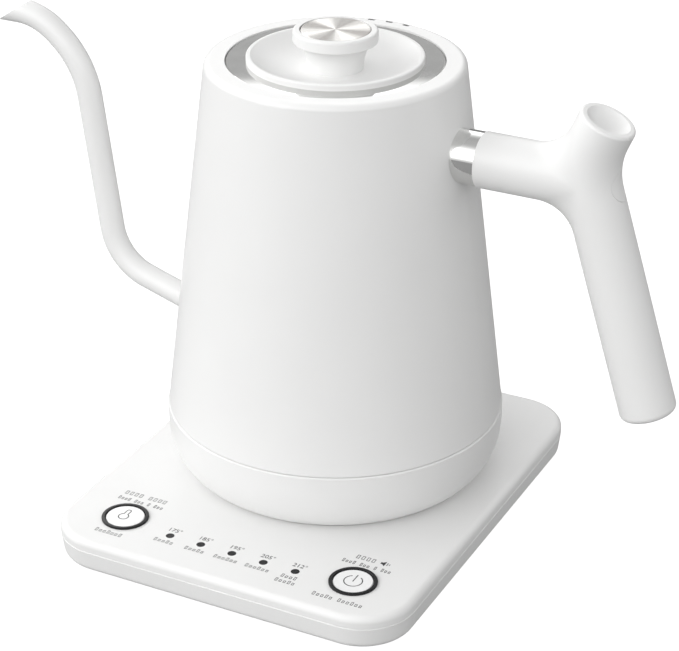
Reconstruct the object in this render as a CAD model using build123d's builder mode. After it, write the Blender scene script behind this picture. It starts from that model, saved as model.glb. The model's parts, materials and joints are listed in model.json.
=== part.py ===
"""Electric gooseneck kettle with a round lift-off connector on a flat power base.

Frame: origin on the table under the kettle's axis, +Z up, handle towards +X, spout towards -X,
controls towards -Y. Millimetres.
"""

import math
import os

from build123d import *

os.makedirs("parts", exist_ok=True)

# ---------------------------------------------------------------- driving dimensions
# Power base
base_width = 150.4            # along X
base_front = -105.0           # front edge, Y
base_back = 78.6              # rear edge, Y
base_corner_radius = 21.5
base_top = 15.1               # height of the plate's top face
base_split = 10.2             # seam between the upper and lower covers
base_underside = 0.8
cover_wall = 2.0
cover_top_round = 2.6
cover_low_round = 3.2
cover_low_lean = 7.0          # degrees that the lower cover's sides lean in
cover_seam_edge = 0.3         # small bevels that make the seam a fine groove
foot_radius = 6.0
foot_chamfer = 0.5
foot_points = [(0, 0), (-55, -84), (55, -84), (-55, 59), (55, 59)]

# Cover screws
base_screw_points = [(-64, -62), (64, -62), (-64, 42), (64, 42)]
boss_radius = 4.6
boss_pilot_radius = 1.4
boss_skin = 1.0               # cover left above a blind screw hole
sleeve_radius = 1.6           # clearance hole in the lower cover
head_recess_radius = 3.2
head_recess_depth = 2.4
base_screw_head_radius = 3.0
base_screw_head_height = 1.8
base_screw_length = 10.6
cross_recess_long = 3.4
cross_recess_wide = 0.8
cross_recess_depth = 0.9

# Cord gland
gland_height = 6.9
gland_radius = 4.4
gland_length = 10.0
gland_proud = 0.8
gland_flange_width = 15.0
gland_flange_height = 7.8
gland_flange_depth = 2.4
gland_flange_inset = 3.4
cord_hole_radius = 3.3
rear_wall_cut = 20.0          # long enough to pass the rear wall both ways

# Controls
button_x = 49.65
button_y = -82.92
button_radius = 7.55
button_top = 15.55
button_edge = 0.3
button_flange_radius = 8.9
button_flange_bottom = 11.0
button_flange_top = 12.0
bezel_inner_radius = 7.8
bezel_radius = 9.3
bezel_top = 15.85
bezel_edge = 0.35
bezel_flange = 1.5
bezel_flange_height = 0.8
plunger_radius = 1.7
plunger_bottom = 9.2
switch_side = 6.0
switch_height = 1.8
switch_well_radius = 1.95
switch_floor = 0.35
indicator_count = 5
indicator_pitch = 13.61
indicator_y = -86.54
indicator_radius = 1.7
indicator_flange = 0.8
indicator_flange_bottom = 11.6
indicator_bottom = 9.5
led_length = 2.0
led_width = 1.25
led_height = 0.8
control_board_top = 8.0
control_board_thickness = 1.2
control_board_y = -83.0
control_board_length = 124.0
control_board_width = 18.0
control_board_holes = [(-58, -77), (58, -77)]
board_corner_radius = 2.0
board_hole_radius = 1.6
buzzer_point = (27.0, -77.6)
buzzer_radius = 3.0
buzzer_hole_radius = 0.7
buzzer_height = 3.2

# Power supply
power_board_top = 5.6
power_board_thickness = 1.4
power_board_y = 45.0
power_board_length = 96.0
power_board_width = 30.0
relay_point = (-30.0, 46.0)
relay_length = 20.0
relay_width = 15.0
relay_height = 7.0
relay_edge = 0.8
transformer_point = (-4.0, 46.0)
transformer_length = 16.0
transformer_width = 13.0
transformer_height = 7.0
transformer_edge = 1.0
capacitor_radius = 3.5
capacitor_start = 10.0
capacitor_length = 14.0
capacitor_y = 38.0
terminal_point = (34.0, 50.0)
terminal_length = 18.0
terminal_width = 9.0
terminal_height = 6.4
terminal_wire_radius = 1.8
terminal_wire_spacing = 10.0
terminal_wire_height = 2.8
terminal_wire_depth = 6.0

# Round connector
hub_radius = 14.5
hub_top = 27.0
hub_edge = 0.8
hub_flange_radius = 20.0
hub_flange_thickness = 2.2
groove_inner_radius = 8.5
groove_outer_radius = 11.0
groove_floor = 19.0
centre_hole_radius = 2.6
centre_hole_floor = 14.0
contact_wall = 0.6
contact_height = 11.5
ring_contact_wall = 0.5
ring_contact_height = 5.5
socket_inner_radius = 15.0
socket_radius = 17.2
socket_flange_radius = 20.5
socket_flange_thickness = 2.2
socket_bottom = 15.7
socket_lead_in = 0.8
socket_roof = 27.6
socket_top = 30.2
pin_root_radius = 2.4
pin_radius = 1.6
pin_bottom = 16.5
pin_point = 0.6
ring_blade_lift = 1.5         # ring blade's height above the groove floor
ring_blade_outer_gap = 1.0
ring_blade_inner_gap = 0.5

# Pot
seam_height = 42.5
seam_gap = 0.4
seam_seal_radius = 66.5
skirt_radius = 67.5
skirt_wall = 2.0
skirt_bottom = 15.3
skirt_foot_radius = 57.5
skirt_curve_top = 36.0        # the skirt is a plain cylinder above this
skirt_edge = 0.5
skirt_outer_pull = [(64.2, 19.0), (67.5, 27.0)]
skirt_inner_pull = [(65.5, 27.8), (62.6, 20.6)]
socket_clearance = 0.4
shell_radius = 67.1           # at the seam
cone_slope = 0.123            # radius lost for each unit of height
shell_wall = 1.0
rim_top = 185.4
rim_round = 2.6
mouth_radius = 41.7
ledge_height = 182.4
neck_radius = 38.6
neck_bottom = 176.0
collar_radius = 65.0          # short cylinder below the seam, inside the skirt
collar_bottom = 37.5
floor_top = 41.2
floor_thickness = 1.2
vent_radius = 46.6
vent_pitch_angle = 9.2
vent_length = 3.2
vent_width = 1.7
vent_depth = 4.0

# Skirt screws
skirt_screw_circle = 50.0
skirt_screw_angles = [90, 210, 330]
skirt_post_radius = 5.0
skirt_post_top = 26.0
skirt_hole_radius = 1.7
skirt_head_recess_radius = 3.6
skirt_head_recess_depth = 4.0
skirt_head_radius = 3.2
skirt_head_lift = 1.8
skirt_shank_radius = 1.5
skirt_shank_length = 13.0
skirt_recess_long = 3.6
skirt_recess_depth = 1.0

# Heater
diffuser_thickness = 2.8
diffuser_radius = 56.0
diffuser_post_radius = 3.2
diffuser_tap_depth = 7.5
probe_clearance_radius = 7.5
element_radius = 40.0
element_tube_radius = 3.3
element_sweep = 290           # degrees
element_leg_radius = 3.0
element_leg_bottom = 24.0
element_pin_radius = 1.2
element_pin_bottom = 19.5
probe_point = (22.0, -18.0)
probe_radius = 3.0
probe_bottom = 31.5
probe_length = 16.0
probe_nose = 2.4
probe_hole_radius = 4.6
seal_under_radius = 6.6
seal_under_thickness = 1.6
seal_over_radius = 6.0
seal_over_thickness = 1.4
cutout_bottom = 31.2
cutout_x = -4.0
cutout_length = 32.0
cutout_width = 20.0
cutout_corner = 3.0
cutout_disc_radius = 5.5
cutout_disc_height = 0.8
cutout_disc_offset = 8.0

# Spout
spout_radius = 5.0
spout_bore = 4.2
spout_path = [(-56.0, 66.05), (-101.5, 80.1), (-113.0, 165.2), (-133.2, 182.3), (-156.0, 182.3)]
spout_bends = [23.0, 38.0, 27.0]
mouth_cut_top = (-136.9, 187.5)
mouth_cut_bottom = (-152.2, 177.3)
mouth_cut_reach = 12.0
strainer_radius = 2.9         # circle of six holes round a middle one, through the shell at the spout's root
strainer_hole_radius = 0.9
strainer_depth = 12.0

# Handle
arm_height = 156.0
arm_radius = 10.7
arm_start = 61.5              # end face against the metal collar
arm_end = 103.0               # inside the grip
grip_radius = 10.9
grip_end = (132.2, 66.3)
grip_end_round = 2.6
handle_corner = (101.8, 162.6)
stub_end = (109.3, 180.3)
stub_end_round = 1.2
handle_bend = 34.0
handle_blend = 17.0
stub_dish_radius = 8.5
stub_dish_depth = 3.6
stud_start = 45.0             # inside the pot's wall, where it is trimmed to the cone
stud_radius = 5.5
stud_end = 84.0
stud_tap_start = 66.0
collar_ring_radius = 10.4
screw_seat = 98.0             # floor of the counterbore
screw_hole_radius = 2.7
washer_radius = 5.2
washer_thickness = 1.0
screw_head_radius = 4.4
screw_head_height = 3.4
screw_head_edge = 1.0
screw_shank_radius = 2.4
screw_point = 70.0
hex_radius = 2.0
hex_depth = 1.8
cap_radius = 5.6
cap_gap = 0.12                # fine shadow line round the cap
cap_start = 106.0
through_cut = 30.0            # long enough to leave the handle

# Lid
lid_radius = 41.35
lid_ring_top = 185.0
lid_ring_inner = 29.0
lid_ring_thickness = 0.8
lid_ring_edge = 0.3
ledge_gap = 0.3
dish_radius = 33.7
dish_top = 187.3
dish_edge = 0.6
dish_lip = 1.6
dish_middle = (22.5, 183.2)   # a point on the dish's hollow
dish_low = 182.0
dish_thickness = 2.4
dish_underside = 2.0
screw_clearance_radius = 2.2
knob_neck_radius = 10.6
knob_neck_pull = [(11.0, 187.5), (12.4, 191.6)]
knob_under_radius = 14.8
knob_band_radius = 16.1
knob_band_bottom = 192.6
knob_band_edge = 0.4
knob_top = 197.0
knob_top_round = 0.9
knob_tap_radius = 1.9
knob_tap_depth = 9.0
insert_radius = 13.35
insert_gap = 0.2              # fine shadow line round the insert
insert_thickness = 1.4
insert_recess = 0.15
insert_edge = 0.4
inner_cover_radius = 36.8
inner_cover_floor = 174.6
inner_cover_wall = 1.0
inner_boss_radius = 7.0
# how far the two-lipped gasket stands off the inner cover, with heights
gasket_outline = [
    (0, 177.4), (0.7, 177.4), (1.5, 178.2), (0.9, 179.2), (1.5, 180.2), (0.7, 181.2), (0, 181.2)
]
lid_screw_head_radius = 4.0
lid_screw_head_height = 2.2
lid_screw_head_edge = 0.9
lid_screw_reach = 8.0         # into the knob
lid_recess_long = 4.2
lid_recess_wide = 0.9
lid_recess_depth = 1.2

# ---------------------------------------------------------------- worked out from the above
base_depth = base_back - base_front
skirt_top = seam_height - seam_gap
floor_bottom = floor_top - floor_thickness
diffuser_bottom = floor_bottom - diffuser_thickness
element_height = diffuser_bottom - element_tube_radius
insert_seat = knob_top - insert_thickness
base_screw_bottom = base_underside + head_recess_depth - base_screw_head_height
skirt_head_top = skirt_bottom + skirt_head_recess_depth
screw_head_start = screw_seat + washer_thickness
skirt_screw_points = [
    (skirt_screw_circle * math.cos(math.radians(a)), skirt_screw_circle * math.sin(math.radians(a)))
    for a in skirt_screw_angles
]


def save(builder, name):
    """Label a finished sub-part and write its STEP file."""
    builder.part.label = name
    export_step(builder.part, f"parts/{name}.step")


def shell_outer(height):
    """Radius of the pot's painted outside at a height."""
    return shell_radius - cone_slope * (height - seam_height)


def base_outline_centre():
    return (0, (base_front + base_back) / 2)


outer_low = shell_outer(seam_height)
outer_high = shell_outer(rim_top - rim_round)

# ---------------------------------------------------------------- power base: covers
with BuildPart() as base_top_cover:
    with BuildSketch(Plane.XY.offset(base_split)):
        with Locations(base_outline_centre()):
            RectangleRounded(base_width, base_depth, base_corner_radius)
    extrude(amount=base_top - base_split)
    fillet(base_top_cover.faces().sort_by(Axis.Z)[-1].edges(), cover_top_round)
    chamfer(base_top_cover.faces().sort_by(Axis.Z)[0].edges(), cover_seam_edge)
    with BuildSketch(Plane.XY.offset(base_split)):
        with Locations(base_outline_centre()):
            RectangleRounded(
                base_width - 2 * cover_wall, base_depth - 2 * cover_wall, base_corner_radius - cover_wall
            )
    extrude(amount=base_top - cover_wall - base_split, mode=Mode.SUBTRACT)
    # screw bosses reach down to the seam
    with BuildSketch(Plane.XY.offset(base_split)):
        with Locations(*base_screw_points):
            Circle(boss_radius)
    extrude(amount=base_top - cover_wall - base_split)
    with BuildSketch(Plane.XY.offset(base_split)):
        with Locations(*base_screw_points):
            Circle(boss_pilot_radius)
    extrude(amount=base_top - boss_skin - base_split, mode=Mode.SUBTRACT)
    # openings for the connector hub, the two buttons and the indicator row
    with BuildSketch(Plane.XY.offset(base_top - cover_wall)):
        Circle(hub_radius)
        with Locations((-button_x, button_y), (button_x, button_y)):
            Circle(bezel_radius)
        with Locations((0, indicator_y)):
            with GridLocations(indicator_pitch, 1, indicator_count, 1):
                Circle(indicator_radius)
    extrude(amount=cover_wall, mode=Mode.SUBTRACT)
    # top of the cord gland's hole in the rear wall
    with Locations((0, base_back, gland_height)):
        Cylinder(gland_radius, rear_wall_cut, rotation=(90, 0, 0), mode=Mode.SUBTRACT)
save(base_top_cover, "base_top_cover")

with BuildPart() as base_bottom_cover:
    with BuildSketch(Plane.XY.offset(base_split)):
        with Locations(base_outline_centre()):
            RectangleRounded(base_width, base_depth, base_corner_radius)
    extrude(amount=base_underside - base_split, taper=cover_low_lean)
    fillet(base_bottom_cover.faces().sort_by(Axis.Z)[0].edges(), cover_low_round)
    chamfer(base_bottom_cover.faces().sort_by(Axis.Z)[-1].edges(), cover_seam_edge)
    with BuildSketch(Plane.XY.offset(base_split)):
        with Locations(base_outline_centre()):
            RectangleRounded(
                base_width - 2 * cover_wall, base_depth - 2 * cover_wall, base_corner_radius - cover_wall
            )
    extrude(amount=base_underside + cover_wall - base_split, taper=cover_low_lean, mode=Mode.SUBTRACT)
    # sleeves that carry the cover screws
    with BuildSketch(Plane.XY.offset(base_underside + cover_wall / 2)):
        with Locations(*base_screw_points):
            Circle(boss_radius)
    extrude(amount=base_split - base_underside - cover_wall / 2)
    with BuildSketch(Plane.XY.offset(base_underside)):
        with Locations(*base_screw_points):
            Circle(sleeve_radius)
    extrude(amount=base_split - base_underside, mode=Mode.SUBTRACT)
    with BuildSketch(Plane.XY.offset(base_underside)):
        with Locations(*base_screw_points):
            Circle(head_recess_radius)
    extrude(amount=head_recess_depth, mode=Mode.SUBTRACT)
    # cord gland's hole in the rear wall
    with Locations((0, base_back, gland_height)):
        Cylinder(gland_radius, rear_wall_cut, rotation=(90, 0, 0), mode=Mode.SUBTRACT)
save(base_bottom_cover, "base_bottom_cover")

with BuildPart() as base_feet:
    with BuildSketch():
        with Locations(*foot_points):
            Circle(foot_radius)
    extrude(amount=base_underside)
    chamfer(base_feet.faces().group_by(Axis.Z)[0].edges(), foot_chamfer)
save(base_feet, "base_feet")

with BuildPart() as base_screws:
    with BuildSketch(Plane.XY.offset(base_screw_bottom)):
        with Locations(*base_screw_points):
            Circle(base_screw_head_radius)
    extrude(amount=base_screw_head_height)
    with BuildSketch(Plane.XY.offset(base_underside + head_recess_depth)):
        with Locations(*base_screw_points):
            Circle(boss_pilot_radius)
    extrude(amount=base_screw_length)
    with BuildSketch(Plane.XY.offset(base_screw_bottom)):
        with Locations(*base_screw_points):
            Rectangle(cross_recess_long, cross_recess_wide)
            Rectangle(cross_recess_wide, cross_recess_long)
    extrude(amount=cross_recess_depth, mode=Mode.SUBTRACT)
save(base_screws, "base_screws")

# ---------------------------------------------------------------- power base: controls
for side, name in ((-1, "program"), (1, "start")):
    centre = (side * button_x, button_y)

    with BuildPart() as bezel:
        with BuildSketch(Plane.XY.offset(base_top - cover_wall - bezel_flange_height)):
            with Locations(centre):
                Circle(bezel_radius + bezel_flange)
                Circle(bezel_inner_radius, mode=Mode.SUBTRACT)
        extrude(amount=bezel_flange_height)
        with BuildSketch(Plane.XY.offset(base_top - cover_wall)):
            with Locations(centre):
                Circle(bezel_radius)
                Circle(bezel_inner_radius, mode=Mode.SUBTRACT)
        extrude(amount=bezel_top - base_top + cover_wall)
        fillet(bezel.faces().sort_by(Axis.Z)[-1].edges(), bezel_edge)
    save(bezel, f"{name}_button_bezel")

    with BuildPart() as cap:
        with BuildSketch(Plane.XY.offset(button_flange_bottom)):
            with Locations(centre):
                Circle(button_flange_radius)
        extrude(amount=button_flange_top - button_flange_bottom)
        with BuildSketch(Plane.XY.offset(button_flange_top)):
            with Locations(centre):
                Circle(button_radius)
        extrude(amount=button_top - button_flange_top)
        fillet(cap.faces().sort_by(Axis.Z)[-1].edges(), button_edge)
    save(cap, f"{name}_button_cap")

    with BuildPart() as plunger:
        with BuildSketch(Plane.XY.offset(plunger_bottom)):
            with Locations(centre):
                Circle(plunger_radius)
        extrude(amount=button_flange_bottom - plunger_bottom)
    save(plunger, f"{name}_switch_plunger")

    with BuildPart() as switch:
        with BuildSketch(Plane.XY.offset(control_board_top)):
            with Locations(centre):
                Rectangle(switch_side, switch_side)
        extrude(amount=switch_height)
        with BuildSketch(Plane.XY.offset(control_board_top + switch_floor)):
            with Locations(centre):
                Circle(switch_well_radius)
        extrude(amount=switch_height - switch_floor, mode=Mode.SUBTRACT)
    save(switch, f"{name}_switch")

for index in range(indicator_count):
    lens_x = (index - (indicator_count - 1) / 2) * indicator_pitch
    with BuildPart() as indicator_lens:
        with BuildSketch(Plane.XY.offset(indicator_flange_bottom)):
            with Locations((lens_x, indicator_y)):
                Circle(indicator_radius + indicator_flange)
        extrude(amount=base_top - cover_wall - indicator_flange_bottom)
        with BuildSketch(Plane.XY.offset(indicator_bottom)):
            with Locations((lens_x, indicator_y)):
                Circle(indicator_radius)
        extrude(amount=base_top - indicator_bottom)
    save(indicator_lens, f"indicator_lens_{index + 1}")

with BuildPart() as indicator_leds:
    with BuildSketch(Plane.XY.offset(control_board_top)):
        with Locations((0, indicator_y)):
            with GridLocations(indicator_pitch, 1, indicator_count, 1):
                Rectangle(led_length, led_width)
    extrude(amount=led_height)
save(indicator_leds, "indicator_leds")

with BuildPart() as control_board:
    with BuildSketch(Plane.XY.offset(control_board_top - control_board_thickness)):
        with Locations((0, control_board_y)):
            RectangleRounded(control_board_length, control_board_width, board_corner_radius)
        with Locations(*control_board_holes):
            Circle(board_hole_radius, mode=Mode.SUBTRACT)
    extrude(amount=control_board_thickness)
save(control_board, "control_board")

with BuildPart() as buzzer:
    with BuildSketch(Plane.XY.offset(control_board_top)):
        with Locations(buzzer_point):
            Circle(buzzer_radius)
            Circle(buzzer_hole_radius, mode=Mode.SUBTRACT)
    extrude(amount=buzzer_height)
save(buzzer, "buzzer")

# ---------------------------------------------------------------- power base: supply
with BuildPart() as power_board:
    with BuildSketch(Plane.XY.offset(power_board_top - power_board_thickness)):
        with Locations((0, power_board_y)):
            RectangleRounded(power_board_length, power_board_width, board_corner_radius)
    extrude(amount=power_board_thickness)
save(power_board, "power_board")

with BuildPart() as relay:
    with BuildSketch(Plane.XY.offset(power_board_top)):
        with Locations(relay_point):
            Rectangle(relay_length, relay_width)
    extrude(amount=relay_height)
    fillet(relay.edges().filter_by(Axis.Z), relay_edge)
save(relay, "relay")

with BuildPart() as transformer:
    with BuildSketch(Plane.XY.offset(power_board_top)):
        with Locations(transformer_point):
            Rectangle(transformer_length, transformer_width)
    extrude(amount=transformer_height)
    chamfer(transformer.faces().sort_by(Axis.Z)[-1].edges(), transformer_edge)
save(transformer, "transformer")

with BuildPart() as capacitor:
    with BuildSketch(Plane.YZ.offset(capacitor_start)):
        with Locations((capacitor_y, power_board_top + capacitor_radius)):
            Circle(capacitor_radius)
    extrude(amount=capacitor_length)
save(capacitor, "capacitor")

with BuildPart() as terminal_block:
    with BuildSketch(Plane.XY.offset(power_board_top)):
        with Locations(terminal_point):
            Rectangle(terminal_length, terminal_width)
    extrude(amount=terminal_height)
    with BuildSketch(Plane.XZ.offset(-(terminal_point[1] + terminal_width / 2))):
        with Locations((terminal_point[0], power_board_top + terminal_wire_height)):
            with GridLocations(terminal_wire_spacing, 1, 2, 1):
                Circle(terminal_wire_radius)
    extrude(amount=terminal_wire_depth, mode=Mode.SUBTRACT)
save(terminal_block, "terminal_block")

gland_outer_end = base_back + gland_proud
with BuildPart() as cord_gland:
    with BuildSketch(Plane.XZ.offset(-gland_outer_end)):
        with Locations((0, gland_height)):
            Circle(gland_radius)
    extrude(amount=gland_length)
    with BuildSketch(Plane.XZ.offset(-(base_back - gland_flange_inset))):
        with Locations((0, gland_height)):
            Rectangle(gland_flange_width, gland_flange_height)
    extrude(amount=gland_flange_depth)
    with BuildSketch(Plane.XZ.offset(-gland_outer_end)):
        with Locations((0, gland_height)):
            Circle(cord_hole_radius)
    extrude(amount=gland_length, mode=Mode.SUBTRACT)
save(cord_gland, "cord_gland")

# ---------------------------------------------------------------- connector halves
with BuildPart() as base_connector:
    with BuildSketch(Plane.XY.offset(base_top - cover_wall - hub_flange_thickness)):
        Circle(hub_flange_radius)
    extrude(amount=hub_flange_thickness)
    with BuildSketch(Plane.XY.offset(base_top - cover_wall)):
        Circle(hub_radius)
    extrude(amount=hub_top - base_top + cover_wall)
    chamfer(base_connector.faces().sort_by(Axis.Z)[-1].edges(), hub_edge)
    with BuildSketch(Plane.XY.offset(groove_floor)):
        Circle(groove_outer_radius)
        Circle(groove_inner_radius, mode=Mode.SUBTRACT)
    extrude(amount=hub_top - groove_floor, mode=Mode.SUBTRACT)
    with BuildSketch(Plane.XY.offset(centre_hole_floor)):
        Circle(centre_hole_radius)
    extrude(amount=hub_top - centre_hole_floor, mode=Mode.SUBTRACT)
save(base_connector, "base_connector")

with BuildPart() as base_centre_contact:
    with BuildSketch(Plane.XY.offset(centre_hole_floor)):
        Circle(centre_hole_radius)
        Circle(centre_hole_radius - contact_wall, mode=Mode.SUBTRACT)
    extrude(amount=contact_height)
save(base_centre_contact, "base_centre_contact")

with BuildPart() as base_ring_contact:
    with BuildSketch(Plane.XY.offset(groove_floor)):
        Circle(groove_outer_radius)
        Circle(groove_outer_radius - ring_contact_wall, mode=Mode.SUBTRACT)
    extrude(amount=ring_contact_height)
save(base_ring_contact, "base_ring_contact")

with BuildPart() as kettle_connector:
    with BuildSketch(Plane.XZ):
        with BuildLine():
            Polyline(
                (pin_root_radius, socket_top),
                (socket_flange_radius, socket_top),
                (socket_flange_radius, socket_top - socket_flange_thickness),
                (socket_radius, socket_top - socket_flange_thickness),
                (socket_radius, socket_bottom),
                (socket_inner_radius + socket_lead_in, socket_bottom),
                (socket_inner_radius, socket_bottom + 1.5 * socket_lead_in),
                (socket_inner_radius, socket_roof),
                (pin_root_radius, socket_roof),
                close=True,
            )
        make_face()
    revolve(axis=Axis.Z)
save(kettle_connector, "kettle_connector")

with BuildPart() as connector_pin:
    with BuildSketch(Plane.XY.offset(socket_roof)):
        Circle(pin_root_radius)
    extrude(amount=socket_top - socket_roof)
    with BuildSketch(Plane.XY.offset(pin_bottom)):
        Circle(pin_radius)
    extrude(amount=socket_roof - pin_bottom)
    chamfer(connector_pin.faces().sort_by(Axis.Z)[0].edges(), pin_point)
save(connector_pin, "connector_pin")

with BuildPart() as connector_ring:
    with BuildSketch(Plane.XY.offset(groove_floor + ring_blade_lift)):
        Circle(groove_outer_radius - ring_blade_outer_gap)
        Circle(groove_inner_radius + ring_blade_inner_gap, mode=Mode.SUBTRACT)
    extrude(amount=socket_roof - groove_floor - ring_blade_lift)
save(connector_ring, "connector_ring")

# ---------------------------------------------------------------- pot: shell and spout
with BuildLine(Plane.XZ) as spout_axis:
    FilletPolyline(*spout_path, radius=spout_bends)
strainer_plane = Plane(spout_axis.line @ 0, z_dir=spout_axis.line % 0)

with BuildPart() as pot_cone:
    with BuildSketch(Plane.XZ):
        with BuildLine():
            Polyline(
                (0, seam_height),
                (outer_low, seam_height),
                (outer_high, rim_top - rim_round),
                (0, rim_top - rim_round),
                close=True,
            )
        make_face()
    revolve(axis=Axis.Z)

with BuildPart() as kettle_shell:
    with BuildSketch(Plane.XZ):
        with BuildLine():
            Polyline(
                (outer_high, rim_top - rim_round),
                (outer_low, seam_height),
                (collar_radius, seam_height),
                (collar_radius, collar_bottom),
                (collar_radius - shell_wall, collar_bottom),
                (collar_radius - shell_wall, seam_height + shell_wall),
                (outer_low - 1.3 * shell_wall, seam_height + 1.6 * shell_wall),
                (outer_high - shell_wall, rim_top - rim_round),
                (outer_high - rim_round, rim_top - shell_wall),
                (mouth_radius + shell_wall, rim_top - shell_wall),
                (mouth_radius + shell_wall, ledge_height - shell_wall),
                (neck_radius + shell_wall, ledge_height - shell_wall),
                (neck_radius + shell_wall, neck_bottom),
                (neck_radius, neck_bottom),
                (neck_radius, ledge_height),
                (mouth_radius, ledge_height),
                (mouth_radius, rim_top),
                (outer_high - rim_round, rim_top),
            )
            RadiusArc((outer_high - rim_round, rim_top), (outer_high, rim_top - rim_round), rim_round)
        make_face()
    revolve(axis=Axis.Z)
    # steam vents through the rim on the far side
    with BuildSketch(Plane.XY.offset(rim_top - vent_depth)):
        for step in (-1, 0, 1):
            angle = 90 + step * vent_pitch_angle
            with PolarLocations(vent_radius, 1, start_angle=angle):
                SlotOverall(vent_length, vent_width, rotation=90)
    extrude(amount=vent_depth, mode=Mode.SUBTRACT)
    # strainer holes at the spout's root, along the spout's first run
    with BuildSketch(strainer_plane):
        Circle(strainer_hole_radius)
        with PolarLocations(strainer_radius, 6):
            Circle(strainer_hole_radius)
    extrude(amount=strainer_depth, mode=Mode.SUBTRACT)
save(kettle_shell, "kettle_shell")

with BuildPart() as spout:
    with BuildSketch(strainer_plane):
        Circle(spout_radius)
        Circle(spout_bore, mode=Mode.SUBTRACT)
    sweep(path=spout_axis.line)
    add(pot_cone.part, mode=Mode.SUBTRACT)
    with BuildSketch(Plane.XZ.offset(-2 * spout_radius)):
        with BuildLine():
            Polyline(
                mouth_cut_top,
                mouth_cut_bottom,
                (mouth_cut_bottom[0], mouth_cut_bottom[1] - mouth_cut_reach),
                (mouth_cut_bottom[0] - mouth_cut_reach, mouth_cut_bottom[1] - mouth_cut_reach),
                (mouth_cut_bottom[0] - mouth_cut_reach, mouth_cut_top[1] + mouth_cut_reach),
                (mouth_cut_top[0], mouth_cut_top[1] + mouth_cut_reach),
                close=True,
            )
        make_face()
    extrude(amount=4 * spout_radius, mode=Mode.SUBTRACT)
save(spout, "spout")

# ---------------------------------------------------------------- pot: underside
skirt_bore = socket_radius + socket_clearance
skirt_inside = skirt_radius - skirt_wall
skirt_floor = skirt_bottom + skirt_wall
with BuildPart() as bottom_skirt:
    with BuildSketch(Plane.XZ):
        with BuildLine():
            Line((skirt_bore, skirt_bottom), (skirt_foot_radius, skirt_bottom))
            Bezier((skirt_foot_radius, skirt_bottom), *skirt_outer_pull, (skirt_radius, skirt_curve_top))
            Line((skirt_radius, skirt_curve_top), (skirt_radius, skirt_top - skirt_edge))
            Line((skirt_radius, skirt_top - skirt_edge), (skirt_radius - skirt_edge, skirt_top))
            Line((skirt_radius - skirt_edge, skirt_top), (skirt_inside, skirt_top))
            Line((skirt_inside, skirt_top), (skirt_inside, skirt_curve_top))
            Bezier((skirt_inside, skirt_curve_top), *skirt_inner_pull, (skirt_foot_radius - 1, skirt_floor))
            Line((skirt_foot_radius - 1, skirt_floor), (skirt_bore, skirt_floor))
            Line((skirt_bore, skirt_floor), (skirt_bore, skirt_bottom))
        make_face()
    revolve(axis=Axis.Z)
    with BuildSketch(Plane.XY.offset(skirt_bottom + skirt_wall / 2)):
        with Locations(*skirt_screw_points):
            Circle(skirt_post_radius)
    extrude(amount=skirt_post_top - skirt_bottom - skirt_wall / 2)
    with BuildSketch(Plane.XY.offset(skirt_bottom)):
        with Locations(*skirt_screw_points):
            Circle(skirt_hole_radius)
    extrude(amount=skirt_post_top - skirt_bottom, mode=Mode.SUBTRACT)
    with BuildSketch(Plane.XY.offset(skirt_bottom)):
        with Locations(*skirt_screw_points):
            Circle(skirt_head_recess_radius)
    extrude(amount=skirt_head_recess_depth, mode=Mode.SUBTRACT)
save(bottom_skirt, "bottom_skirt")

with BuildPart() as skirt_screws:
    with BuildSketch(Plane.XY.offset(skirt_bottom + skirt_head_lift)):
        with Locations(*skirt_screw_points):
            Circle(skirt_head_radius)
    extrude(amount=skirt_head_recess_depth - skirt_head_lift)
    with BuildSketch(Plane.XY.offset(skirt_head_top)):
        with Locations(*skirt_screw_points):
            Circle(skirt_shank_radius)
    extrude(amount=skirt_shank_length)
    with BuildSketch(Plane.XY.offset(skirt_bottom + skirt_head_lift)):
        with Locations(*skirt_screw_points):
            Rectangle(skirt_recess_long, cross_recess_wide)
            Rectangle(cross_recess_wide, skirt_recess_long)
    extrude(amount=skirt_recess_depth, mode=Mode.SUBTRACT)
save(skirt_screws, "skirt_screws")

with BuildPart() as seam_seal:
    with BuildSketch(Plane.XY.offset(skirt_top)):
        Circle(seam_seal_radius)
        Circle(collar_radius, mode=Mode.SUBTRACT)
    extrude(amount=seam_gap)
save(seam_seal, "seam_seal")

with BuildPart() as pot_floor:
    with BuildSketch(Plane.XY.offset(floor_bottom)):
        Circle(collar_radius - shell_wall)
        with Locations(probe_point):
            Circle(probe_hole_radius, mode=Mode.SUBTRACT)
    extrude(amount=floor_thickness)
save(pot_floor, "pot_floor")

with BuildPart() as heat_diffuser:
    with BuildSketch(Plane.XY.offset(diffuser_bottom)):
        Circle(diffuser_radius)
        with Locations(probe_point):
            Circle(probe_clearance_radius, mode=Mode.SUBTRACT)
    extrude(amount=diffuser_thickness)
    with BuildSketch(Plane.XY.offset(skirt_post_top)):
        with Locations(*skirt_screw_points):
            Circle(diffuser_post_radius)
    extrude(amount=diffuser_bottom - skirt_post_top)
    with BuildSketch(Plane.XY.offset(skirt_post_top)):
        with Locations(*skirt_screw_points):
            Circle(skirt_shank_radius)
    extrude(amount=diffuser_tap_depth, mode=Mode.SUBTRACT)
save(heat_diffuser, "heat_diffuser")

with BuildPart() as heating_element:
    with BuildSketch(Plane.XZ):
        with Locations((element_radius, element_height)):
            Circle(element_tube_radius)
    revolve(axis=Axis.Z, revolution_arc=element_sweep)
    for end_angle in (0, element_sweep):
        with BuildSketch(Plane.XY.offset(element_leg_bottom)):
            with PolarLocations(element_radius, 1, start_angle=-end_angle):
                Circle(element_leg_radius)
        extrude(amount=element_height - element_leg_bottom)
        with BuildSketch(Plane.XY.offset(element_pin_bottom)):
            with PolarLocations(element_radius, 1, start_angle=-end_angle):
                Circle(element_pin_radius)
        extrude(amount=element_leg_bottom - element_pin_bottom)
save(heating_element, "heating_element")

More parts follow.
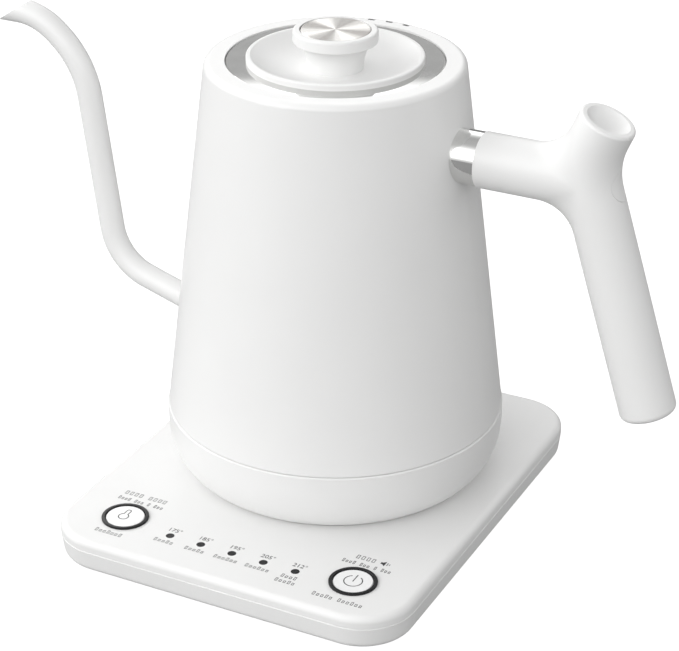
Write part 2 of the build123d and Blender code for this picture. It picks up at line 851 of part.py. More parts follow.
with BuildPart() as temperature_probe:
    with BuildSketch(Plane.XY.offset(probe_bottom)):
        with Locations(probe_point):
            Circle(probe_radius)
    extrude(amount=probe_length)
    fillet(temperature_probe.faces().sort_by(Axis.Z)[-1].edges(), probe_nose)
save(temperature_probe, "temperature_probe")

with BuildPart() as probe_seal:
    with BuildSketch(Plane.XY.offset(floor_bottom - seal_under_thickness)):
        with Locations(probe_point):
            Circle(seal_under_radius)
    extrude(amount=seal_under_thickness)
    with BuildSketch(Plane.XY.offset(floor_bottom)):
        with Locations(probe_point):
            Circle(probe_hole_radius)
    extrude(amount=floor_thickness)
    with BuildSketch(Plane.XY.offset(floor_top)):
        with Locations(probe_point):
            Circle(seal_over_radius)
    extrude(amount=seal_over_thickness)
    with BuildSketch(Plane.XY.offset(floor_bottom - seal_under_thickness)):
        with Locations(probe_point):
            Circle(probe_radius)
    extrude(amount=seal_under_thickness + floor_thickness + seal_over_thickness, mode=Mode.SUBTRACT)
save(probe_seal, "probe_seal")

with BuildPart() as thermal_cutout:
    with BuildSketch(Plane.XY.offset(cutout_bottom)):
        with Locations((cutout_x, 0)):
            RectangleRounded(cutout_length, cutout_width, cutout_corner)
    extrude(amount=diffuser_bottom - cutout_disc_height - cutout_bottom)
    with BuildSketch(Plane.XY.offset(diffuser_bottom - cutout_disc_height)):
        with Locations((cutout_x - cutout_disc_offset, 0), (cutout_x + cutout_disc_offset, 0)):
            Circle(cutout_disc_radius)
    extrude(amount=cutout_disc_height)
save(thermal_cutout, "thermal_cutout")

# ---------------------------------------------------------------- handle
with BuildPart() as handle_blank:
    with BuildLine(Plane.XZ) as handle_line:
        FilletPolyline(grip_end, handle_corner, stub_end, radius=handle_bend)
    with BuildSketch(Plane(handle_line.line @ 0, z_dir=handle_line.line % 0)):
        Circle(grip_radius)
    sweep()
    with BuildSketch(Plane.YZ.offset(arm_start)):
        with Locations((0, arm_height)):
            Circle(arm_radius)
    extrude(amount=arm_end - arm_start)
    joins = [e for e in handle_blank.edges() if e.geom_type not in (GeomType.CIRCLE, GeomType.LINE)]
    fillet(joins, handle_blend)
    # soft edges at the grip's end and round the thumb rest
    fillet(handle_blank.faces().filter_by(GeomType.PLANE).sort_by(Axis.Z)[0].edges(), grip_end_round)
    fillet(handle_blank.faces().filter_by(GeomType.PLANE).sort_by(Axis.Z)[-1].edges(), stub_end_round)

stub_axis = Vector(stub_end[0] - handle_corner[0], 0, stub_end[1] - handle_corner[1]).normalized()
dish_sphere = (stub_dish_radius**2 + stub_dish_depth**2) / (2 * stub_dish_depth)
dish_centre = Vector(stub_end[0], 0, stub_end[1]) + stub_axis * (dish_sphere - stub_dish_depth)

with BuildPart() as handle:
    add(handle_blank.part)
    with Locations(dish_centre):
        Sphere(dish_sphere, mode=Mode.SUBTRACT)
    # pocket for the stud, screw hole, and the counterbore under the cap
    with BuildSketch(Plane.YZ.offset(arm_start)):
        with Locations((0, arm_height)):
            Circle(stud_radius)
    extrude(amount=stud_end - arm_start, mode=Mode.SUBTRACT)
    with BuildSketch(Plane.YZ.offset(stud_end)):
        with Locations((0, arm_height)):
            Circle(screw_hole_radius)
    extrude(amount=screw_seat - stud_end, mode=Mode.SUBTRACT)
    with BuildSketch(Plane.YZ.offset(screw_seat)):
        with Locations((0, arm_height)):
            Circle(cap_radius + cap_gap)
    extrude(amount=through_cut, mode=Mode.SUBTRACT)
save(handle, "handle")

with BuildPart() as handle_screw_cap:
    with BuildSketch(Plane.YZ.offset(cap_start)):
        with Locations((0, arm_height)):
            Circle(cap_radius)
    extrude(amount=through_cut)
    add(handle_blank.part, mode=Mode.INTERSECT)
save(handle_screw_cap, "handle_screw_cap")

with BuildPart() as handle_washer:
    with BuildSketch(Plane.YZ.offset(screw_seat)):
        with Locations((0, arm_height)):
            Circle(washer_radius)
            Circle(screw_shank_radius, mode=Mode.SUBTRACT)
    extrude(amount=washer_thickness)
save(handle_washer, "handle_washer")

with BuildPart() as handle_screw:
    with BuildSketch(Plane.YZ.offset(screw_head_start)):
        with Locations((0, arm_height)):
            Circle(screw_head_radius)
    extrude(amount=screw_head_height)
    fillet(handle_screw.faces().sort_by(Axis.X)[-1].edges(), screw_head_edge)
    with BuildSketch(Plane.YZ.offset(screw_point)):
        with Locations((0, arm_height)):
            Circle(screw_shank_radius)
    extrude(amount=screw_head_start - screw_point)
    with BuildSketch(Plane.YZ.offset(screw_head_start + screw_head_height - hex_depth)):
        with Locations((0, arm_height)):
            RegularPolygon(hex_radius, 6)
    extrude(amount=hex_depth, mode=Mode.SUBTRACT)
save(handle_screw, "handle_screw")

with BuildPart() as handle_stud:
    with BuildSketch(Plane.YZ.offset(stud_start)):
        with Locations((0, arm_height)):
            Circle(stud_radius)
    extrude(amount=stud_end - stud_start)
    add(pot_cone.part, mode=Mode.SUBTRACT)
    with BuildSketch(Plane.YZ.offset(stud_tap_start)):
        with Locations((0, arm_height)):
            Circle(screw_shank_radius)
    extrude(amount=stud_end - stud_tap_start, mode=Mode.SUBTRACT)
save(handle_stud, "handle_stud")

with BuildPart() as handle_collar:
    with BuildSketch(Plane.YZ.offset(stud_start)):
        with Locations((0, arm_height)):
            Circle(collar_ring_radius)
            Circle(stud_radius, mode=Mode.SUBTRACT)
    extrude(amount=arm_start - stud_start)
    add(pot_cone.part, mode=Mode.SUBTRACT)
save(handle_collar, "handle_collar")

# ---------------------------------------------------------------- lid
with BuildPart() as lid_ring:
    with BuildSketch(Plane.XZ):
        with BuildLine():
            Polyline(
                (lid_ring_inner, lid_ring_top - lid_ring_thickness),
                (lid_radius - lid_ring_thickness, lid_ring_top - lid_ring_thickness),
                (lid_radius - lid_ring_thickness, ledge_height + ledge_gap),
                (lid_radius, ledge_height + ledge_gap),
                (lid_radius, lid_ring_top - lid_ring_edge),
                (lid_radius - lid_ring_edge, lid_ring_top),
                (lid_ring_inner, lid_ring_top),
                close=True,
            )
        make_face()
    revolve(axis=Axis.Z)
save(lid_ring, "lid_ring")

dish_lip_start = dish_radius - dish_lip
dish_bottom = dish_low - dish_thickness
dish_floor_radius = lid_ring_inner - 2.5 * dish_thickness
with BuildPart() as lid_dish:
    with BuildSketch(Plane.XZ):
        with BuildLine():
            Line((dish_radius, lid_ring_top), (dish_radius, dish_top - dish_edge))
            RadiusArc((dish_radius - dish_edge, dish_top), (dish_radius, dish_top - dish_edge), dish_edge)
            Line((dish_radius - dish_edge, dish_top), (dish_lip_start, dish_top))
            ThreePointArc((dish_lip_start, dish_top), dish_middle, (knob_neck_radius, dish_low))
            Line((knob_neck_radius, dish_low), (screw_clearance_radius, dish_low))
            Line((screw_clearance_radius, dish_low), (screw_clearance_radius, dish_bottom))
            Line((screw_clearance_radius, dish_bottom), (dish_floor_radius, dish_bottom))
            Line((dish_floor_radius, dish_bottom), (lid_ring_inner, lid_ring_top - dish_underside))
            Line((lid_ring_inner, lid_ring_top - dish_underside), (lid_ring_inner, lid_ring_top))
            Line((lid_ring_inner, lid_ring_top), (dish_radius, lid_ring_top))
        make_face()
    revolve(axis=Axis.Z)
save(lid_dish, "lid_dish")

band_low = knob_band_bottom - insert_recess
band_edge_start = knob_band_radius - knob_band_edge
insert_hole = insert_radius + insert_gap
with BuildPart() as lid_knob:
    with BuildSketch(Plane.XZ):
        with BuildLine():
            Line((0, dish_low), (knob_neck_radius, dish_low))
            Bezier((knob_neck_radius, dish_low), *knob_neck_pull, (knob_under_radius, band_low))
            Line((knob_under_radius, band_low), (band_edge_start, band_low))
            RadiusArc((band_edge_start, band_low),
                      (knob_band_radius, band_low + knob_band_edge), -knob_band_edge)
            Line((knob_band_radius, band_low + knob_band_edge), (knob_band_radius, knob_top - knob_top_round))
            RadiusArc((knob_band_radius - knob_top_round, knob_top),
                      (knob_band_radius, knob_top - knob_top_round), knob_top_round)
            Line((knob_band_radius - knob_top_round, knob_top), (insert_hole, knob_top))
            Line((insert_hole, knob_top), (insert_hole, insert_seat))
            Line((insert_hole, insert_seat), (0, insert_seat))
            Line((0, insert_seat), (0, dish_low))
        make_face()
    revolve(axis=Axis.Z)
    with BuildSketch(Plane.XY.offset(dish_low)):
        Circle(knob_tap_radius)
    extrude(amount=knob_tap_depth, mode=Mode.SUBTRACT)
save(lid_knob, "lid_knob")

with BuildPart() as knob_insert:
    with BuildSketch(Plane.XY.offset(insert_seat)):
        Circle(insert_radius)
    extrude(amount=insert_thickness - insert_recess)
    chamfer(knob_insert.faces().sort_by(Axis.Z)[-1].edges(), insert_edge)
save(knob_insert, "knob_insert")

inner_cover_inside = inner_cover_radius - inner_cover_wall
inner_cover_lid = lid_ring_top - lid_ring_thickness
with BuildPart() as lid_inner_cover:
    with BuildSketch(Plane.XZ):
        with BuildLine():
            Polyline(
                (screw_clearance_radius, inner_cover_floor),
                (inner_cover_inside, inner_cover_floor),
                (inner_cover_radius, inner_cover_floor + inner_cover_wall),
                (inner_cover_radius, inner_cover_lid),
                (inner_cover_inside, inner_cover_lid),
                (inner_cover_inside, inner_cover_floor + inner_cover_wall),
                (inner_boss_radius, inner_cover_floor + inner_cover_wall),
                (inner_boss_radius, dish_bottom),
                (screw_clearance_radius, dish_bottom),
                close=True,
            )
        make_face()
    revolve(axis=Axis.Z)
save(lid_inner_cover, "lid_inner_cover")

with BuildPart() as lid_gasket:
    with BuildSketch(Plane.XZ):
        with BuildLine():
            Polyline(*[(inner_cover_radius + proud, height) for proud, height in gasket_outline], close=True)
        make_face()
    revolve(axis=Axis.Z)
save(lid_gasket, "lid_gasket")

with BuildPart() as lid_screw:
    with BuildSketch(Plane.XY.offset(inner_cover_floor - lid_screw_head_height)):
        Circle(lid_screw_head_radius)
    extrude(amount=lid_screw_head_height)
    fillet(lid_screw.faces().sort_by(Axis.Z)[0].edges(), lid_screw_head_edge)
    with BuildSketch(Plane.XY.offset(inner_cover_floor)):
        Circle(knob_tap_radius)
    extrude(amount=dish_low + lid_screw_reach - inner_cover_floor)
    with BuildSketch(Plane.XY.offset(inner_cover_floor - lid_screw_head_height)):
        Rectangle(lid_recess_long, lid_recess_wide)
        Rectangle(lid_recess_wide, lid_recess_long)
    extrude(amount=lid_recess_depth, mode=Mode.SUBTRACT)
save(lid_screw, "lid_screw")
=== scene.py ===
"""Studio scene of the gooseneck kettle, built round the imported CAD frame.

Lengths are metres, and MM turns millimetres into them.
"""
import json
import math

import bpy
from mathutils import Matrix, Vector


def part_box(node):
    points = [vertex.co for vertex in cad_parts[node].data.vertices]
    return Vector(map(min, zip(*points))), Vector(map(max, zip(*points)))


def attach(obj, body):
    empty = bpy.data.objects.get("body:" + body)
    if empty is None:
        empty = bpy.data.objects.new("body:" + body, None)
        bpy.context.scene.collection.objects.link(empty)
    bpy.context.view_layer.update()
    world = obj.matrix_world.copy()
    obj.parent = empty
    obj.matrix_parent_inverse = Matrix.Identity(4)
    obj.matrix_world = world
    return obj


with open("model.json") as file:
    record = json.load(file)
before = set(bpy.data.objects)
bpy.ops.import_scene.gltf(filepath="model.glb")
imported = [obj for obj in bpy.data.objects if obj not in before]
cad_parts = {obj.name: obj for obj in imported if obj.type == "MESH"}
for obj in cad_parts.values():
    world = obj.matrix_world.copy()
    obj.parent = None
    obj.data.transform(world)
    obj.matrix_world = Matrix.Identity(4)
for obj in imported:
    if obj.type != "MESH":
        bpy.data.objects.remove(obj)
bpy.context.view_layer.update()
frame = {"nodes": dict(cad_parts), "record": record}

MM = 0.001

# Camera
AZIMUTH = math.radians(27.03)
ELEVATION = math.radians(27.05)
DISTANCE = 0.8649
TARGET = Vector((0, 0, 0.0728))
LENS = 114.95                # millimetres
SHIFT = 0.0059               # sideways shift of the lens, in picture widths

# Studio light, as the strength of the sky by direction; heights are sines of the elevation
SKY_RIGHT = 1.13
SKY_LEFT = 3.5
SKY_TOP = 0.18               # share of that strength straight above
SKY_LOW = 0.22               # share of it near the horizon
TOP_HEIGHTS = (0.45, 0.92)
LOW_HEIGHTS = (0.03, 0.36)
BAND_TOP = math.sin(math.radians(20.5))   # the dark band behind the object ends at this height
BAND_EDGE = 0.006
BAND_SIDES = (-0.75, -0.2)   # how far round to the sides the band reaches
BAND_LEVEL = 0.25
FLOOR_REACH = 15.0
FLOOR_GLOW = 1.0             # brightness that the camera sees, besides the light that falls on the floor
FLOOR_LIGHT = 0.12           # brightness that the object receives

# Turned steel of the knob's insert, with a painted reflection of dark and light streaks in its colour
SPUN_REFLECTION_SECTORS = 4.0           # dark sectors of the painted reflection round the disc
SPUN_REFLECTION_TURN = 0.77
SPUN_REFLECTION_DARK = (0.36, 0.345, 0.33)
SPUN_REFLECTION_LIGHT = (0.84, 0.825, 0.80)
SPUN_RING_SCALE = 9000.0
SPUN_RING_DEPTH = 0.000003

# Print
PRINT_THICK = 0.03 * MM
LINE = 0.4 * MM              # stroke of the button icons
STROKE = 0.24 * MM           # stroke of the small marks
MARK_WIDTH = 0.56            # width of a mark, as a share of the pitch
LOW_MARK = 0.72              # height of a low mark, as a share of a tall one
NUMERALS = ("175", "185", "195", "205", "212")
NUMERAL_SIZE = 3.2 * MM
NUMERAL_RISE = 3.9 * MM      # from the light to the middle of its numeral
LABEL_DROP = 4.3 * MM
LABEL_SPACING = 3.3 * MM
LABEL_PITCH = 1.75 * MM
LABEL_TALL = 2.1 * MM
INDICATOR_MARKS = ((5,), (5,), (6,), (6,), (4, 5))
FIRST_ROW_RISE = 16.2 * MM
# For each button, the rows of print round it: groups of marks, pitch, height, offset from the button's
# middle in X and Y, and whether all marks are tall
BUTTON_ROWS = {
    "program": (
        ((4, 4), 2.15 * MM, 2.4 * MM, 0.0, FIRST_ROW_RISE, True),
        ((4, 3, 1, 3), 1.47 * MM, 2.1 * MM, 0.0, 11.9 * MM, False),
        ((7,), 1.75 * MM, 2.2 * MM, 0.3 * MM, -12.2 * MM, False),
    ),
    "start": (
        ((4,), 2.15 * MM, 2.4 * MM, -2.1 * MM, FIRST_ROW_RISE, True),
        ((4, 3, 1, 3), 1.47 * MM, 2.1 * MM, 0.0, 11.9 * MM, False),
        ((5, 6), 1.75 * MM, 2.2 * MM, 0.3 * MM, -13.0 * MM, False),
    ),
}
SPEAKER_OFFSET = 3.6 * MM
SPEAKER = ((0, 0.6), (0.8, 0.6), (1.9, 1.6), (1.9, -1.6), (0.8, -0.6), (0, -0.6))
SPEAKER_WAVES = ((2.6, -0.9, 0.3, 1.8), (3.5, -0.5, 0.3, 1.0))   # corner, width and height
BULB_RADIUS = 2.0 * MM
BULB_CENTRE = (-0.6 * MM, -0.4 * MM)
STEM_RADIUS = 0.85 * MM
STEM_CENTRE = (-0.6 * MM, 3.75 * MM)
POWER_RADIUS = 3.5 * MM
POWER_BAR_FOOT = -0.4 * MM
POWER_BAR_LENGTH = 4.7 * MM

# Dark pieces in the steam vents of the rim, which paint the shade inside them
VENT_ANGLES = (80.8, 90, 99.2)         # degrees round the rim
VENT_RADIUS = 46.6 * MM
VENT_LENGTH = 3.16 * MM
VENT_WIDTH = 1.66 * MM
VENT_THICK = 1.5 * MM
VENT_SUNK = 0.25 * MM

scene = bpy.context.scene


# ---------------------------------------------------------------- node helpers
class Shader:
    """A Principled material with small helpers for procedural detail in object space."""

    def __init__(self, name, colour, roughness, metallic=0.0, **sockets):
        self.material = bpy.data.materials.new(name)
        self.material.use_nodes = True
        self.tree = self.material.node_tree
        self.principled = self.tree.nodes["Principled BSDF"]
        self.principled.inputs["Base Color"].default_value = (*colour, 1)
        self.principled.inputs["Roughness"].default_value = roughness
        self.principled.inputs["Metallic"].default_value = metallic
        for socket, value in sockets.items():
            self.principled.inputs[socket.replace("_", " ")].default_value = value
        self.place = self.tree.nodes.new("ShaderNodeTexCoord").outputs["Object"]

    def node(self, kind, **inputs):
        made = self.tree.nodes.new("ShaderNode" + kind)
        for key, value in inputs.items():
            socket = made.inputs[int(key[1:])] if key[0] == "_" else made.inputs[key.replace("_", " ")]
            if isinstance(value, bpy.types.NodeSocket):
                self.tree.links.new(value, socket)
            else:
                socket.default_value = value
        return made

    def stretched(self, scale=(1, 1, 1), turn=(0, 0, 0)):
        mapping = self.node("Mapping", Vector=self.place, Rotation=turn, Scale=scale)
        return mapping.outputs["Vector"]

    def noise(self, size, detail=3.0, roughness=0.5, place=None):
        """Noise whose features are about size metres across."""
        place = place or self.place
        made = self.node("TexNoise", Vector=place, Scale=1 / size, Detail=detail, Roughness=roughness)
        return made.outputs["Fac"]

    def math(self, operation, first, second=0.5):
        made = self.node("Math", _0=first, _1=second)
        made.operation = operation
        return made.outputs[0]

    def spread(self, value, low, high, cut=(0.3, 0.7)):
        """Maps a noise value onto a range."""
        made = self.node("MapRange", _0=value, _1=cut[0], _2=cut[1], _3=low, _4=high)
        return made.outputs["Result"]

    def tint(self, value, low, high):
        mix = self.tree.nodes.new("ShaderNodeMix")
        mix.data_type = "RGBA"
        self.tree.links.new(value, mix.inputs["Factor"])
        mix.inputs["A"].default_value = (*low, 1)
        mix.inputs["B"].default_value = (*high, 1)
        return mix.outputs["Result"]

    def colour(self, socket):
        self.tree.links.new(socket, self.principled.inputs["Base Color"])

    def rough(self, socket):
        self.tree.links.new(socket, self.principled.inputs["Roughness"])

    def bump(self, height, depth, strength=1.0):
        """Bump from a 0..1 height of the given depth in metres; several calls stack."""
        made = self.node("Bump", Height=height, Distance=depth, Strength=strength)
        normal = self.principled.inputs["Normal"]
        if normal.is_linked:
            self.tree.links.new(normal.links[0].from_socket, made.inputs["Normal"])
        self.tree.links.new(made.outputs["Normal"], normal)


def satin(name, colour, low, high, grain, depth, spread=0.012, **sockets):
    """Moulded or painted surface: faint tone drift, roughness drift and a fine grain."""
    made = Shader(name, colour, (low + high) / 2, **sockets)
    drift = made.noise(0.03, 2)
    darker = tuple(c - spread for c in colour)
    made.colour(made.tint(made.spread(drift, 0, 1), darker, colour))
    made.rough(made.spread(made.noise(0.006, 3), low, high))
    made.bump(made.noise(grain, 2, 0.6), depth)
    return made.material


def metal(name, colour, low, high, scratch=(1, 1, 1), depth=0.000004, **sockets):
    """Metal with a directional grain; scratch stretches the noise along an axis."""
    made = Shader(name, colour, (low + high) / 2, 1.0, **sockets)
    grain = made.noise(0.0006, 4, 0.6, made.stretched(scratch))
    made.rough(made.spread(grain, low, high))
    darker = tuple(c * 0.9 for c in colour)
    made.colour(made.tint(made.spread(made.noise(0.01, 3), 0, 1), darker, colour))
    made.bump(grain, depth)
    return made.material


white_enamel = satin("white_enamel", (0.78, 0.78, 0.775), 0.30, 0.38, 0.0012, 0.000006)
white_plastic = satin("white_plastic", (0.77, 0.77, 0.765), 0.38, 0.48, 0.00035, 0.000006)
white_gloss = satin("white_gloss", (0.82, 0.82, 0.82), 0.12, 0.2, 0.002, 0.000003)
black_gloss = satin(
    "black_gloss", (0.012, 0.012, 0.013), 0.08, 0.16, 0.002, 0.000003, 0.004, Specular_IOR_Level=0.22
)
black_plastic = satin("black_plastic", (0.022, 0.022, 0.024), 0.42, 0.55, 0.0004, 0.00001, 0.006)
chrome = metal("chrome", (0.83, 0.83, 0.82), 0.03, 0.08, depth=0.0000005)
polished_steel = metal("polished_steel", (0.66, 0.66, 0.65), 0.012, 0.03, depth=0.0000001)


def spun():
    """Radially turned steel disc: fine rings, and a painted reflection of broad soft streaks that fan
    out from the middle.
    """
    made = Shader("spun_steel", (0.8, 0.78, 0.755), 0.24, 1.0, Anisotropic=0.85)
    axes = made.node("SeparateXYZ", Vector=made.place).outputs
    angle = made.math("ARCTAN2", axes["Y"], axes["X"])
    squares = made.math("ADD", made.math("POWER", axes["X"], 2.0), made.math("POWER", axes["Y"], 2.0))
    radius = made.math("POWER", squares, 0.5)
    # painted reflection: dark and light sectors round the disc, painted into the base colour
    turned = made.math("MULTIPLY", made.math("ADD", angle, SPUN_REFLECTION_TURN), SPUN_REFLECTION_SECTORS)
    along_angle = made.node("CombineXYZ", X=angle).outputs[0]
    warp = made.node("TexNoise", Vector=along_angle, Scale=2.2).outputs["Fac"]
    painted_reflection = made.math("ADD", made.math("COSINE", turned), made.spread(warp, -0.5, 0.5))
    made.colour(made.tint(made.spread(painted_reflection, 0, 1, (-0.95, 0.9)), SPUN_REFLECTION_DARK, SPUN_REFLECTION_LIGHT))
    along_radius = made.node("CombineXYZ", X=radius).outputs[0]
    rings = made.node("TexNoise", Vector=along_radius, Scale=SPUN_RING_SCALE, Detail=2.0).outputs["Fac"]
    made.rough(made.spread(rings, 0.2, 0.32))
    made.bump(rings, SPUN_RING_DEPTH)
    tangent = made.node("Tangent")
    tangent.direction_type = "RADIAL"
    tangent.axis = "Z"
    made.tree.links.new(tangent.outputs["Tangent"], made.principled.inputs["Tangent"])
    return made.material


spun_steel = spun()
brushed_steel = metal("brushed_steel", (0.62, 0.62, 0.61), 0.22, 0.36, (1, 1, 12))
zinc = metal("zinc", (0.55, 0.55, 0.56), 0.25, 0.4)
aluminium = metal("aluminium", (0.75, 0.75, 0.76), 0.25, 0.4, (8, 1, 1))
brass = metal("brass", (0.80, 0.60, 0.28), 0.2, 0.34)
element = metal("element_sheath", (0.30, 0.26, 0.23), 0.4, 0.6)
rubber = satin("rubber", (0.02, 0.02, 0.02), 0.65, 0.8, 0.0005, 0.00002, 0.005)
silicone = satin("silicone", (0.55, 0.55, 0.55), 0.4, 0.55, 0.0006, 0.000006)
board_green = satin("circuit_board", (0.03, 0.17, 0.07), 0.25, 0.4, 0.001, 0.00001, 0.01)
led_clear = satin("led_clear", (0.8, 0.8, 0.7), 0.1, 0.2, 0.001, 0.000002)
relay_blue = satin("relay_blue", (0.02, 0.07, 0.3), 0.25, 0.4, 0.0005, 0.000006, 0.01)
tape_yellow = satin("tape_yellow", (0.65, 0.45, 0.05), 0.3, 0.45, 0.0006, 0.00001, 0.03)
sleeve_dark = satin("sleeve_dark", (0.02, 0.03, 0.08), 0.15, 0.3, 0.001, 0.000004, 0.006)
nylon = satin("nylon", (0.6, 0.61, 0.58), 0.4, 0.5, 0.0006, 0.000006)
phenolic = satin("phenolic", (0.05, 0.04, 0.035), 0.35, 0.5, 0.0006, 0.000008, 0.01)

slot_material = {
    "white_paint": white_enamel, "white_plastic": white_plastic, "white_gloss": white_gloss,
    "black_gloss": black_gloss, "black_plastic": black_plastic, "chrome": chrome,
    "polished_steel": polished_steel, "spun_steel": spun_steel, "brushed_steel": brushed_steel,
    "zinc_steel": zinc, "aluminium": aluminium, "element_sheath": element, "brass": brass,
    "rubber": rubber, "grey_silicone": silicone, "circuit_board": board_green, "led_white": led_clear,
    "relay_blue": relay_blue, "transformer_tape": tape_yellow, "capacitor_sleeve": sleeve_dark,
    "terminal_nylon": nylon, "cutout_phenolic": phenolic,
}
for entry in frame["record"]["subparts"]:
    node = frame["nodes"][entry["node"]]
    node.data.materials.clear()
    node.data.materials.append(slot_material[entry["material_slot"]])


# ---------------------------------------------------------------- print on the plate and the buttons
def middle(node):
    low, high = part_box(node)
    return Vector((low[0] + high[0], low[1] + high[1], 2 * high[2])) / 2


def printed(name, outlines, centre, body, material, thick=PRINT_THICK):
    """A flat piece of some thickness, such as print, from closed outlines (x, y) and their holes."""
    curve = bpy.data.curves.new(name, "CURVE")
    curve.dimensions = "2D"
    curve.fill_mode = "BOTH"
    curve.extrude = thick / 2
    for outline in outlines:
        spline = curve.splines.new("POLY")
        spline.points.add(len(outline) - 1)
        for point, (x, y) in zip(spline.points, outline):
            point.co = (x, y, 0, 1)
        spline.use_cyclic_u = True
    return settle(name, curve, centre, body, material, thick)


def settle(name, data, centre, body, material, thick):
    """Turns a flat curve or text into a mesh piece whose underside is at centre."""
    drawn = bpy.data.objects.new(name + "_outline", data)
    scene.collection.objects.link(drawn)
    bpy.context.view_layer.update()
    mesh = bpy.data.meshes.new_from_object(drawn.evaluated_get(bpy.context.evaluated_depsgraph_get()))
    bpy.data.objects.remove(drawn)
    mesh.transform(Matrix.Translation(Vector(centre) + Vector((0, 0, thick / 2))))
    mesh.materials.clear()
    mesh.materials.append(material)
    piece = bpy.data.objects.new(name, mesh)
    scene.collection.objects.link(piece)
    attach(piece, body)
    return piece


def numeral(name, text, centre, body, size):
    font = bpy.data.curves.new(name, "FONT")
    font.body = text
    font.size = size
    font.align_x = "CENTER"
    font.align_y = "CENTER"
    font.extrude = PRINT_THICK / 2
    font.resolution_u = 3
    return settle(name, font, centre, body, ink, PRINT_THICK)


def arc(radius, start, stop, steps=24, at=(0, 0)):
    """Points along an arc, in degrees."""
    angles = [math.radians(start + (stop - start) * k / steps) for k in range(steps + 1)]
    return [(at[0] + radius * math.cos(t), at[1] + radius * math.sin(t)) for t in angles]


def bar(x, y, width, depth):
    return [(x, y), (x + width, y), (x + width, y + depth), (x, y + depth)]


def ribbon(points, width, closed=False):
    """The outline, or the two outlines if closed, of a line of some width along points."""
    left, right = [], []
    count = len(points)
    for k, point in enumerate(points):
        before = Vector(points[k - 1] if k or closed else point)
        after = Vector(points[(k + 1) % count] if k < count - 1 or closed else point)
        run = (after - before).normalized()
        side = Vector((-run.y, run.x)) * width / 2
        left.append(tuple(Vector(point) + side))
        right.append(tuple(Vector(point) - side))
    return [left, right[::-1]] if closed else [left + right[::-1]]


def marks(groups, pitch, tall, capitals=False):
    """A centred row of small open boxes in groups, which stands for a line of print."""
    count = sum(groups) + len(groups) - 1
    outlines, x = [], -count * pitch / 2
    for group in groups:
        for place in range(group):
            height = tall if capitals or place % 3 == 0 else tall * LOW_MARK
            wide = pitch * MARK_WIDTH
            outlines.append(bar(x, -tall / 2, wide, height))
            inside = bar(x + STROKE, -tall / 2 + STROKE, wide - 2 * STROKE, height - 2 * STROKE)
            outlines.append(inside[::-1])
            x += pitch
        x += pitch
    return outlines


ink = satin("ink", (0.045, 0.045, 0.047), 0.45, 0.6, 0.0003, 0.000002, 0.02)
plate_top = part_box("base_top_cover")[1][2]

for index, degrees in enumerate(NUMERALS, 1):
    lamp = middle(f"indicator_lens_{index}")
    above = (lamp.x, lamp.y + NUMERAL_RISE, plate_top)
    numeral(f"print_number_{index}", degrees + "\u00b0", above, "base", NUMERAL_SIZE)
    for line, letters in enumerate(INDICATOR_MARKS[index - 1]):
        below = (lamp.x, lamp.y - LABEL_DROP - LABEL_SPACING * line, plate_top)
        name = f"print_label_{index}_{line + 1}"
        printed(name, marks((letters,), LABEL_PITCH, LABEL_TALL), below, "base", ink)

for name, rows in BUTTON_ROWS.items():
    button = middle(f"{name}_button_bezel")
    for line, (groups, pitch, tall, aside, rise, capitals) in enumerate(rows, 1):
        spot = (button.x + aside, button.y + rise, plate_top)
        row = marks(groups, pitch, tall, capitals)
        printed(f"print_{name}_line_{line}", row, spot, "base", ink)

# a small loudspeaker beside the right button's first line
button = middle("start_button_bezel")
shapes = [SPEAKER] + [bar(*wave) for wave in SPEAKER_WAVES]
picture = [[(x * MM, y * MM) for x, y in outline] for outline in shapes]
spot = (button.x + SPEAKER_OFFSET, button.y + FIRST_ROW_RISE, plate_top)
printed("print_speaker", picture, spot, "base", ink)

# a thermometer on the left button, the on-off sign on the right one
cap = middle("program_button_cap")
bulb = arc(BULB_RADIUS, 115, 425, 40, BULB_CENTRE)
stem = arc(STEM_RADIUS, 0, 180, 16, STEM_CENTRE)
printed("icon_thermometer", ribbon(stem + bulb, LINE, closed=True), cap, "program_button", ink)

cap = middle("start_button_cap")
power = ribbon(arc(POWER_RADIUS, 119, 421, 48), LINE)
power.append(bar(-LINE / 2, POWER_BAR_FOOT, LINE, POWER_BAR_LENGTH))
printed("icon_power", power, cap, "start_button", ink)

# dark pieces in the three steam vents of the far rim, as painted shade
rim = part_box("kettle_shell")[1][2]
for number, degrees in enumerate(VENT_ANGLES, 1):
    straight = (VENT_LENGTH - VENT_WIDTH) / 2
    outline = arc(VENT_WIDTH / 2, -90, 90, 12, (straight, 0))
    outline += arc(VENT_WIDTH / 2, 90, 270, 12, (-straight, 0))
    turn = math.radians(degrees)
    spin = Matrix.Rotation(turn + math.pi / 2, 2)
    outline = [tuple(spin @ Vector(point)) for point in outline]
    foot = rim - VENT_SUNK - VENT_THICK
    spot = (VENT_RADIUS * math.cos(turn), VENT_RADIUS * math.sin(turn), foot)
    # a black piece sunk in each vent stands in for the shade in the hole
    printed(f"vent_liner_{number}", [outline], spot, "kettle", black_plastic, VENT_THICK)

# ---------------------------------------------------------------- camera
level = math.cos(ELEVATION)
back = Vector((math.sin(AZIMUTH) * level, -math.cos(AZIMUTH) * level, math.sin(ELEVATION)))
camera_data = bpy.data.cameras.new("camera")
camera_data.lens = LENS
camera_data.shift_x = SHIFT
camera_data.clip_start = 0.05
camera_data.clip_end = 60
camera = bpy.data.objects.new("camera", camera_data)
camera.location = TARGET + back * DISTANCE
camera.rotation_mode = "QUATERNION"
camera.rotation_quaternion = (-back).to_track_quat("-Z", "Y")
scene.collection.objects.link(camera)
scene.camera = camera


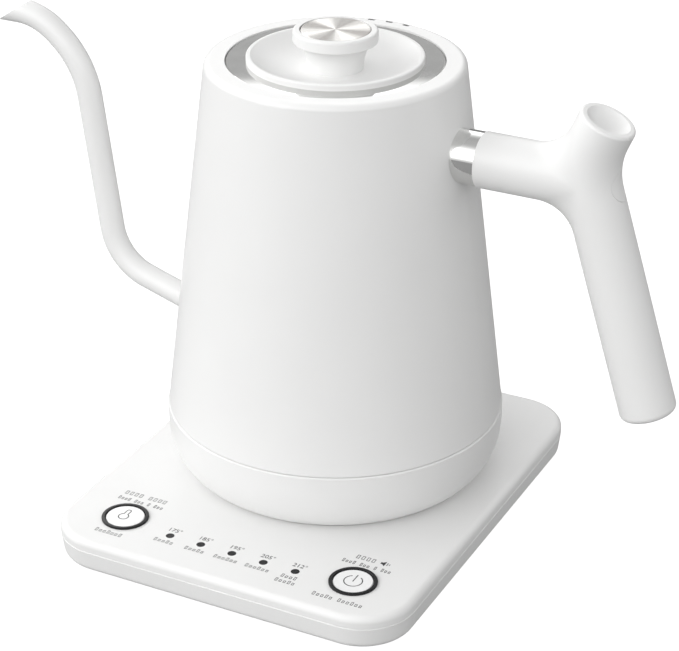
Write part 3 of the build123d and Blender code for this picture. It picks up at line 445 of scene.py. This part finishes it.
# ---------------------------------------------------------------- studio
class Sky:
    """The studio's light by direction.

    It is brightest from the camera's left at middle heights, weaker to the right, overhead and near the
    horizon, and dark low down behind the object.
    """

    LEFT = (-math.cos(AZIMUTH), -math.sin(AZIMUTH), 0)
    FRONT = (math.sin(AZIMUTH), -math.cos(AZIMUTH), 0)

    def __init__(self):
        world = bpy.data.worlds.new("studio")
        world.use_nodes = True
        self.tree = world.node_tree
        self.background = self.tree.nodes["Background"]
        self.background.inputs["Color"].default_value = (1, 1, 1, 1)
        self.direction = self.tree.nodes.new("ShaderNodeTexCoord").outputs["Generated"]
        scene.world = world

    def node(self, kind, values, operation=None):
        made = self.tree.nodes.new("ShaderNode" + kind)
        if operation:
            made.operation = operation
        for number, value in values.items():
            if isinstance(value, bpy.types.NodeSocket):
                self.tree.links.new(value, made.inputs[number])
            else:
                made.inputs[number].default_value = value
        return made

    def along(self, axis):
        return self.node("VectorMath", {0: self.direction, 1: axis}, "DOT_PRODUCT").outputs["Value"]

    def ramp(self, value, start, stop, low, high, smooth=True):
        made = self.node("MapRange", {0: value, 1: start, 2: stop, 3: low, 4: high})
        if smooth:
            made.interpolation_type = "SMOOTHSTEP"
        return made.outputs["Result"]

    def times(self, one, other):
        return self.node("Math", {0: one, 1: other}, "MULTIPLY").outputs["Value"]


sky = Sky()
height = sky.along((0, 0, 1))
side = sky.along(Sky.LEFT)
front = sky.along(Sky.FRONT)
pale = sky.ramp(side, -1, 1, SKY_RIGHT, SKY_LEFT)
overhead = sky.ramp(height, *TOP_HEIGHTS, 1.0, SKY_TOP)
skirting = sky.ramp(height, *LOW_HEIGHTS, SKY_LOW, 1.0)
low = sky.ramp(height, BAND_TOP, BAND_TOP + BAND_EDGE, 1, 0, False)
behind = sky.ramp(front, *BAND_SIDES, 1, 0)
band = sky.times(low, behind)
shade = sky.ramp(band, 0, 1, 1, BAND_LEVEL, False)
total = sky.times(sky.times(sky.times(pale, overhead), skirting), shade)
strength = sky.background.inputs["Strength"]
sky.tree.links.new(total, strength)

floor_mesh = bpy.data.meshes.new("studio_floor")
corners = [(x * FLOOR_REACH, y * FLOOR_REACH, 0) for x, y in ((-1, -1), (1, -1), (1, 1), (-1, 1))]
floor_mesh.from_pydata(corners, [], [(0, 1, 2, 3)])
studio_floor = bpy.data.objects.new("studio_floor", floor_mesh)
floor_material = satin("pale_floor", (0.2, 0.2, 0.2), 0.6, 0.7, 0.002, 0.00001, 0.004)
floor_shader = floor_material.node_tree.nodes["Principled BSDF"]
floor_shader.inputs["Specular IOR Level"].default_value = 0
floor_shader.inputs["Emission Color"].default_value = (1, 1, 1, 1)
glow = floor_material.node_tree.nodes.new("ShaderNodeMapRange")
seen = floor_material.node_tree.nodes.new("ShaderNodeLightPath").outputs["Is Camera Ray"]
glow.inputs["To Min"].default_value = FLOOR_LIGHT
glow.inputs["To Max"].default_value = FLOOR_GLOW
floor_material.node_tree.links.new(seen, glow.inputs["Value"])
floor_material.node_tree.links.new(glow.outputs["Result"], floor_shader.inputs["Emission Strength"])
floor_mesh.materials.append(floor_material)
scene.collection.objects.link(studio_floor)

scene.view_settings.view_transform = "Standard"
scene.view_settings.look = "None"
